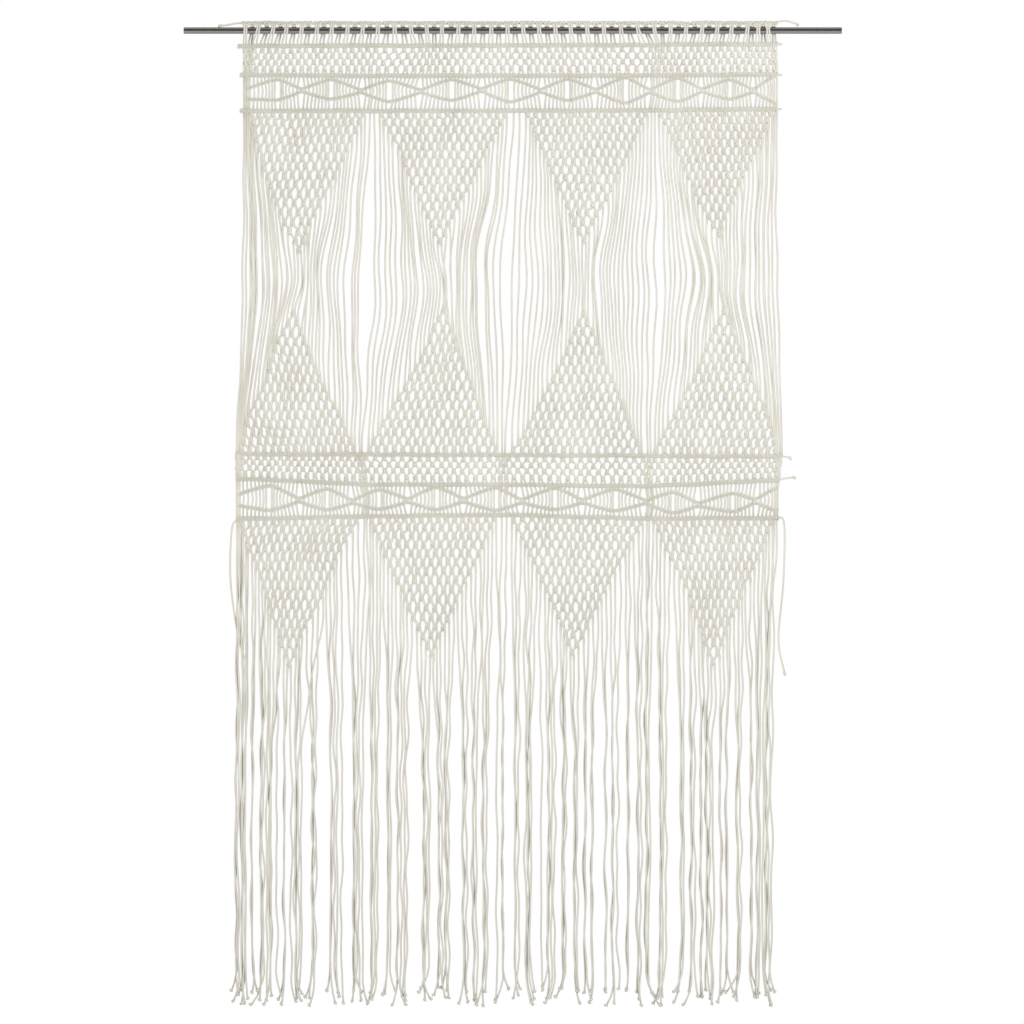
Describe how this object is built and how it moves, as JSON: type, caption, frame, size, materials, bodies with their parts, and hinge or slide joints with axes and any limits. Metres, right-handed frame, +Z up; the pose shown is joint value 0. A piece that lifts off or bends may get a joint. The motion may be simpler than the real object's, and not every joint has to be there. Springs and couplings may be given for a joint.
{
  "type": "macrame curtain on a rod",
  "caption": "Openwork curtain of knotted cotton cord with lozenge bands, net triangles, slack strands and a long fringe, hung from a straight metal rod.",
  "frame": {"origin": "on the rod's axis at the middle of its length", "axes": "+Z up, +X along the rod to the right as seen from the front, and the front faces -Y"},
  "size_m": [1.6, 0.0306, 2.3978],
  "materials": {
    "rod_steel": "brushed",
    "cotton_cord": "twisted natural cotton"
  },
  "bodies": {
    "root": {"rod": "rod_steel", "curtain_panel": "cotton_cord", "fringe": "cotton_cord"}
  },
  "joints": []
}
